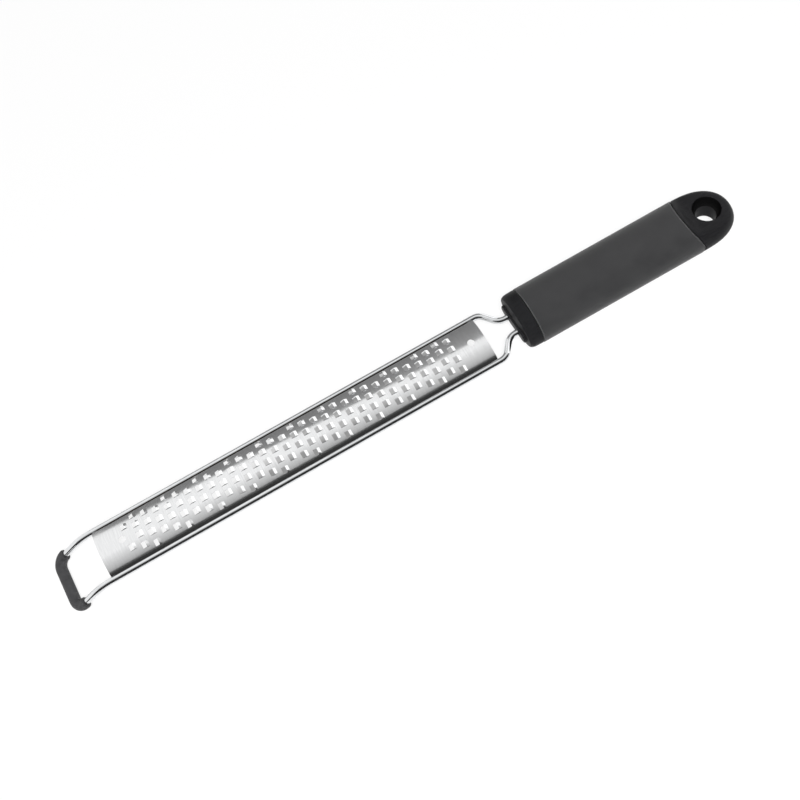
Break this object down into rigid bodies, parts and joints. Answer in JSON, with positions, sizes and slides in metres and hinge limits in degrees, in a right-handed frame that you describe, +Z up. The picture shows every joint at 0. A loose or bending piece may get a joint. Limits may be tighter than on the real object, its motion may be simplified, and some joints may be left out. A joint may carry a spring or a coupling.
{
  "type": "hand rasp grater",
  "caption": "Long arched steel rasp grater on a bent wire frame, with a rubber-sleeved drop foot and a soft-gripped black handle ending in a hanging hole.",
  "frame": {"origin": "middle of the overall length and width, on the table that the foot sleeve and the grip stand on", "axes": "+X from the foot to the hanging end, +Y across the blade, +Z up through the toothed face"},
  "size_m": [0.359, 0.032, 0.0236],
  "materials": {
    "blade_steel": "satin stainless, finely brushed",
    "wire_steel": "polished stainless wire",
    "foot_rubber": "matt dark grey rubber",
    "grip_soft": "matt soft-touch",
    "hard_black": "satin black moulded plastic"
  },
  "bodies": {
    "root": {"grating_blade": "blade_steel", "wire_frame": "wire_steel", "foot_sleeve": "foot_rubber", "handle_core": "hard_black", "front_plug": "hard_black", "soft_grip": "grip_soft", "weld_far_1": "blade_steel", "weld_far_2": "blade_steel", "weld_far_3": "blade_steel", "weld_far_4": "blade_steel", "weld_near_1": "blade_steel", "weld_near_2": "blade_steel", "weld_near_3": "blade_steel", "weld_near_4": "blade_steel"}
  },
  "joints": []
}
